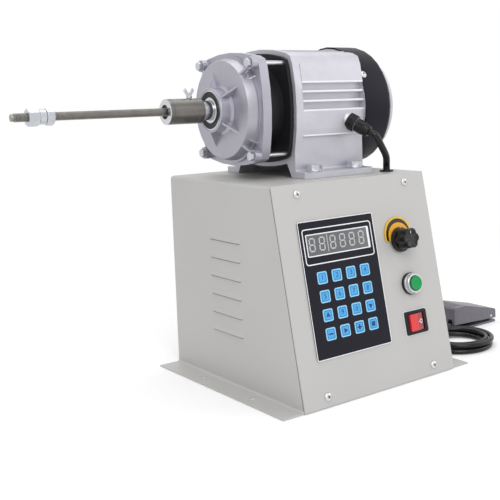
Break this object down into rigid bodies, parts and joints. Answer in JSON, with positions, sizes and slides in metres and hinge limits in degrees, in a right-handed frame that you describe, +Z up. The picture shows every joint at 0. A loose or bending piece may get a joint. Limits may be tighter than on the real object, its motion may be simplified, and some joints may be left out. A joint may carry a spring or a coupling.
{
  "type": "wire coil winding machine",
  "caption": "Bench coil winder: sloped sheet-metal cabinet with counter keypad, speed knob and switches, finned gear motor turning a threaded clamp spindle, and a corded foot pedal.",
  "frame": {"origin": "centre of the cabinet's footprint, on the floor", "axes": "+Z up, -X the way the spindle points, -Y the way the control panel faces"},
  "size_m": [0.7309, 0.3559, 0.435],
  "materials": {
    "cabinet_paint": "satin powder coat",
    "cast_aluminium": "satin cast",
    "black_paint": "satin",
    "black_plastic": "matte",
    "overlay": "semi gloss film",
    "yellow": "satin",
    "green": "gloss",
    "red": "gloss",
    "chrome": "polished",
    "zinc": "zinc plated",
    "dark_steel": "turned, oiled",
    "rubber": "gloss jacket",
    "pedal_paint": "hammered satin",
    "laminations": "bare"
  },
  "bodies": {
    "machine": {"front_panel": "cabinet_paint", "front_screw_1": "chrome", "front_screw_2": "chrome", "front_screw_3": "chrome", "front_screw_4": "chrome", "keypad_overlay": "overlay", "counter_module": "black_plastic", "dial_plate": "yellow", "speed_pot": "zinc", "start_gasket": "rubber", "start_bezel": "chrome", "rocker_frame": "black_plastic", "cabinet_wrapper": "cabinet_paint", "base_plate": "cabinet_paint", "back_panel": "cabinet_paint", "cord_gland": "black_plastic", "power_inlet": "black_plastic", "driver_module": "cast_aluminium", "motor_body": "cast_aluminium", "motor_gland": "black_plastic", "stator": "laminations", "ring_gear": "black_paint", "rotor_bearing_front": "chrome", "rotor_bearing_rear": "chrome", "gear_cover": "cast_aluminium", "output_bearing": "black_plastic", "tie_bolt_1": "zinc", "tie_bolt_2": "zinc", "tie_bolt_3": "zinc", "tie_bolt_4": "zinc", "foot_bolt_1": "zinc", "foot_bolt_2": "zinc", "foot_bolt_3": "zinc", "foot_bolt_4": "zinc", "fan_cover": "black_paint", "fan_guard": "zinc", "lead_grommet": "rubber", "motor_lead": "rubber", "pedal_base": "pedal_paint", "pedal_pin": "zinc", "pedal_switch": "black_plastic", "pedal_cord_coil": "rubber", "pedal_cord_lead": "rubber", "pedal_cord_tail": "rubber"},
    "spindle": {"output_shaft": "dark_steel", "coupler": "dark_steel", "spindle_rod": "dark_steel"},
    "rotor": {"rotor": "laminations", "fan": "black_plastic"},
    "planet_a": {"planet_1": "dark_steel"},
    "planet_b": {"planet_2": "dark_steel"},
    "planet_c": {"planet_3": "dark_steel"},
    "outer_nut": {"nut_outer": "zinc"},
    "inner_clamp": {"nut_inner": "zinc", "clamp_collar": "zinc"},
    "wing": {"wing_screw": "zinc"},
    "knob": {"speed_knob": "black_plastic"},
    "start": {"start_cap": "green"},
    "rocker": {"power_rocker": "red"},
    "treadle": {"pedal_treadle": "pedal_paint"}
  },
  "joints": [
    {"name": "spindle_turn", "type": "hinge", "parent": "machine", "child": "spindle", "pos_m": [-0.2, 0.0375, 0.353], "axis": [-1, 0, 0], "continuous": true},
    {"name": "rotor_turn", "type": "hinge", "parent": "machine", "child": "rotor", "pos_m": [0, 0.0375, 0.353], "axis": [-1, 0, 0], "continuous": true},
    {"name": "planet_a_turn", "type": "hinge", "parent": "spindle", "child": "planet_a", "pos_m": [-0.066, 0.0645, 0.353], "axis": [-1, 0, 0], "continuous": true},
    {"name": "planet_b_turn", "type": "hinge", "parent": "spindle", "child": "planet_b", "pos_m": [-0.066, 0.024, 0.37638], "axis": [-1, 0, 0], "continuous": true},
    {"name": "planet_c_turn", "type": "hinge", "parent": "spindle", "child": "planet_c", "pos_m": [-0.066, 0.024, 0.32962], "axis": [-1, 0, 0], "continuous": true},
    {"name": "outer_nut_slide", "type": "slide", "parent": "spindle", "child": "outer_nut", "axis": [-1, 0, 0], "range_m": [0, 0.016]},
    {"name": "inner_clamp_slide", "type": "slide", "parent": "spindle", "child": "inner_clamp", "axis": [1, 0, 0], "range_m": [0, 0.14]},
    {"name": "wing_screw_turn", "type": "hinge", "parent": "spindle", "child": "wing", "pos_m": [-0.1539, 0.0375, 0.353], "axis": [0, 0, 1], "range_deg": [-180, 180]},
    {"name": "speed_turn", "type": "hinge", "parent": "machine", "child": "knob", "pos_m": [0.0623, -0.10957, 0.17821], "axis": [0, -0.9792, 0.2029], "range_deg": [-150, 150]},
    {"name": "start_press", "type": "slide", "parent": "machine", "child": "start", "axis": [0, 0.9792, -0.2029], "range_m": [0, 0.0035], "stiffness_N_per_m": 600, "springref_m": -0.002},
    {"name": "power_rock", "type": "hinge", "parent": "machine", "child": "rocker", "pos_m": [0.0696, -0.13286, 0.07173], "axis": [0, 0.2029, 0.9792], "range_deg": [-18, 0]},
    {"name": "treadle_press", "type": "hinge", "parent": "machine", "child": "treadle", "pos_m": [0.343, 0.0045, 0.0105], "axis": [0, -1, 0], "range_deg": [0, 4], "stiffness_Nm_per_rad": 20, "springref_deg": -2.86}
  ],
  "couplings": [
    {"joint": "rotor_turn", "follows": "spindle_turn", "ratio": 6},
    {"joint": "planet_a_turn", "follows": "spindle_turn", "ratio": -2.5},
    {"joint": "planet_b_turn", "follows": "spindle_turn", "ratio": -2.5},
    {"joint": "planet_c_turn", "follows": "spindle_turn", "ratio": -2.5}
  ]
}
